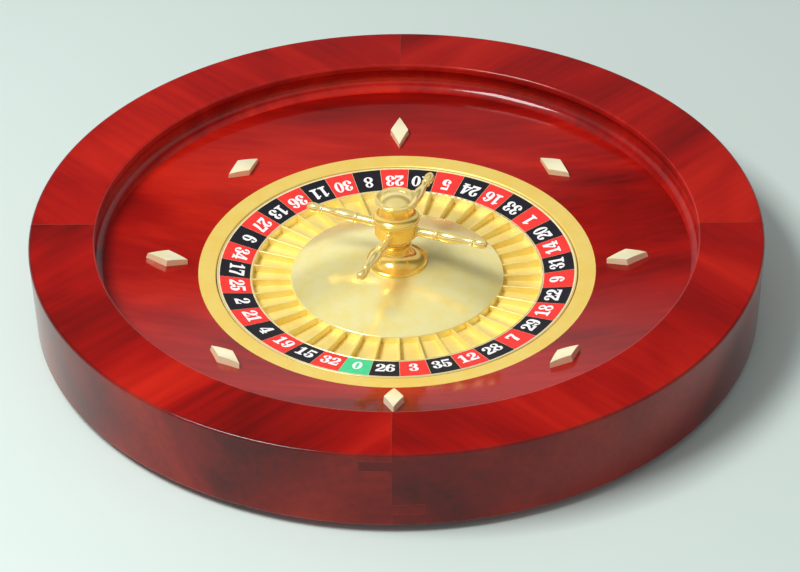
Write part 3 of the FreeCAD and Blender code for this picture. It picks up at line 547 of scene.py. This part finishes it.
def write_number(data, text, centre):
    """Add one number to a mesh, its top towards the wheel's axis."""
    outward = Vector((math.cos(centre), math.sin(centre), 0))
    along = Vector((-math.sin(centre), math.cos(centre), 0))
    for place, letter in enumerate(text):
        shift = (place - (len(text) - 1) / 2) * FIGURE_STEP
        corners, triangles = figure_triangles(FIGURES[letter])

        def lifted(lift):
            verts = []
            for corner in corners:
                flat = outward * (FIGURE_R - (corner.y - 0.5) * FIGURE_HEIGHT)
                flat = flat + along * (shift + corner.x * FIGURE_HEIGHT)
                verts.append(data.verts.new((flat.x, flat.y, pad_height(flat.length) + lift)))
            return verts
        high = lifted(PAD_THICKNESS + INK_THICKNESS)
        low = lifted(PAD_THICKNESS - INK_SINK)
        sides = {}
        for a, b, c in triangles:
            data.faces.new((high[a], high[b], high[c]))
            data.faces.new((low[c], low[b], low[a]))
            for first, second in ((a, b), (b, c), (c, a)):
                sides[(first, second)] = True
        for first, second in sides:
            if (second, first) not in sides:
                data.faces.new((high[second], high[first], low[first], low[second]))
        unused = [vert for vert in high + low if not vert.link_faces]
        for vert in unused:
            data.verts.remove(vert)


def numerals():
    """Every number round the ring as one raised print."""
    data = bmesh.new()
    for place, number in enumerate(WHEEL_ORDER):
        write_number(data, str(number), math.radians(ZERO_DEG - place * STEP_DEG))
    return make_object("numerals", data, [DIGIT_WHITE], "rotor")


numerals()


# ---- seam lines of the finger-jointed rim ----

SEAM_COUNT = 4
SEAM_STEP_DEG = 90.0
SEAM_HALF_WIDTH = 0.17 * MM
SEAM_SIDES = 6
SEAM_INSET = 1.6 * MM
SHORTEST_STRETCH = 0.05 * MM
RIM_WIDTH = 41.0 * MM
WALL_DRAFT = 1.3 * MM
FINGER_LENGTH = 19.0 * MM
FINGER_HEIGHT = 7.3 * MM
UPPER_FINGER_DROP = 4.5 * MM
LOWER_FINGER_DROP = 37.0 * MM
FINGER_STEPS = 4
RIM_ROUND = 1.5 * MM
CORNER_SHARE = 0.3


def wall_r(z):
    """Radius of the rim's drafted wall at a height."""
    low = FOOT_Z + RIM_ROUND
    high = RIM_TOP - RIM_ROUND
    share = min(max((z - low) / (high - low), 0.0), 1.0)
    return RIM_R - WALL_DRAFT * (1.0 - share)


def seam_path():
    """Corners (radius, height, turn in degrees) of one seam, over the flat top and down the wall."""
    reach = math.degrees(FINGER_LENGTH / RIM_R)
    top = RIM_TOP
    upper = top - UPPER_FINGER_DROP
    lower = top - LOWER_FINGER_DROP
    corner = RIM_ROUND * CORNER_SHARE
    path = [(RIM_R - RIM_WIDTH + SEAM_INSET, top, 0.0), (RIM_R - RIM_ROUND, top, 0.0),
            (RIM_R - corner, top - corner, 0.0), (RIM_R, top - RIM_ROUND, 0.0)]
    path.append((wall_r(upper), upper, 0.0))
    steps = FINGER_STEPS
    edges = ((0, -reach, upper), (-reach, 0, upper - FINGER_HEIGHT),
             (0, reach, lower), (reach, 0, lower - FINGER_HEIGHT))
    for start, end, z in edges:
        path.extend((wall_r(z), z, start + (end - start) * step / steps) for step in range(steps + 1))
    path.append((wall_r(FOOT_Z), FOOT_Z + RIM_ROUND, 0.0))
    return path


def seam_lines():
    """Fine filled lines where the four rim segments meet."""
    data = bmesh.new()
    for quarter in range(SEAM_COUNT):
        points = []
        for radius, z, turn_deg in seam_path():
            angle = math.radians(SEAM_STEP_DEG * quarter + turn_deg)
            points.append(Vector((radius * math.cos(angle), radius * math.sin(angle), z)))
        for start, end in zip(points, points[1:]):
            along = end - start
            if along.length < SHORTEST_STRETCH:
                continue
            middle = (start + end) / 2
            turned = along.to_track_quat("Z", "Y").to_matrix().to_4x4()
            place = Matrix.Translation(middle) @ turned
            bmesh.ops.create_cone(data, cap_ends=True, segments=SEAM_SIDES, radius1=SEAM_HALF_WIDTH,
                                  radius2=SEAM_HALF_WIDTH, depth=along.length, matrix=place)
    return make_object("seam_lines", data, [SEAM_WOOD], "bowl")


seam_lines()


# ---- stage, lights, camera ----

FLOOR_HALF_SIDE = 6.0
FLOOR_COLOUR = colour(203, 217, 211)
FLOOR_ROUGHNESS = 0.6
KEY_AT = (-0.75, -0.4, 1.45)
KEY_TARGET = (0, -0.05, 0)
KEY_WIDTH = 0.7
KEY_LENGTH = 0.5
KEY_POWER = 27
WORLD_STRENGTH = 0.52
WORLD_BANDS = [
    (0.0, (0.70, 0.74, 0.74, 1)),
    (0.16, (1.55, 1.58, 1.62, 1)),
    (0.42, (1.3, 1.3, 1.34, 1)),
    (0.52, (0.09, 0.09, 0.10, 1)),
    (0.68, (0.09, 0.09, 0.10, 1)),
    (0.80, (1.0, 1.0, 1.0, 1)),
    (1.0, (0.9, 0.9, 0.9, 1)),
]


def floor():
    """Large plain pale floor."""
    data = bmesh.new()
    bmesh.ops.create_grid(data, x_segments=1, y_segments=1, size=FLOOR_HALF_SIDE)
    mesh = bpy.data.meshes.new("floor")
    data.to_mesh(mesh)
    data.free()
    thing = bpy.data.objects.new("floor", mesh)
    bpy.context.scene.collection.objects.link(thing)
    material, _, shader = new_material("floor_pale")
    shader.inputs["Base Color"].default_value = FLOOR_COLOUR
    shader.inputs["Roughness"].default_value = FLOOR_ROUGHNESS
    mesh.materials.append(material)


def key_light():
    """Soft rectangular light above the wheel and to its left."""
    light = bpy.data.lights.new("key", "AREA")
    light.shape = "RECTANGLE"
    light.size = KEY_WIDTH
    light.size_y = KEY_LENGTH
    light.energy = KEY_POWER
    thing = bpy.data.objects.new("key", light)
    bpy.context.scene.collection.objects.link(thing)
    thing.location = KEY_AT
    direction = Vector(KEY_TARGET) - Vector(KEY_AT)
    thing.rotation_euler = direction.to_track_quat("-Z", "Y").to_euler()


def world():
    """Studio surroundings: pale low down, a dark band above that, pale again overhead."""
    scene_world = bpy.data.worlds.new("studio")
    bpy.context.scene.world = scene_world
    scene_world.use_nodes = True
    tree = scene_world.node_tree
    background = tree.nodes["Background"]
    coords = add(tree, "ShaderNodeTexCoord")
    split = add(tree, "ShaderNodeSeparateXYZ")
    tree.links.new(coords.outputs["Generated"], split.inputs[0])
    tint = ramp(tree, WORLD_BANDS)
    tree.links.new(split.outputs["Z"], tint.inputs[0])
    tree.links.new(tint.outputs[0], background.inputs["Color"])
    background.inputs["Strength"].default_value = WORLD_STRENGTH


def camera():
    """Camera above the player's side, looking down on the wheel."""
    data = bpy.data.cameras.new("camera")
    data.lens = LENS_MM
    data.sensor_width = SENSOR_MM
    data.clip_end = CAMERA_REACH
    thing = bpy.data.objects.new("camera", data)
    bpy.context.scene.collection.objects.link(thing)
    heading = math.radians(CAMERA_HEADING_DEG)
    pitch = math.radians(CAMERA_PITCH_DEG)
    roll = math.radians(CAMERA_ROLL_DEG)
    flat = Vector((math.sin(heading), math.cos(heading), 0))
    forward = flat * math.cos(pitch) + Vector((0, 0, math.sin(pitch)))
    level = Vector((math.cos(heading), -math.sin(heading), 0))
    upward = level.cross(forward)
    right = level * math.cos(roll) + upward * math.sin(roll)
    top = upward * math.cos(roll) - level * math.sin(roll)
    turned = Matrix((right, top, -forward)).transposed().to_4x4()
    thing.matrix_world = Matrix.Translation(CAMERA_AT) @ turned
    bpy.context.scene.camera = thing


floor()
world()
key_light()
bpy.context.scene.view_settings.view_transform = "Standard"
camera()
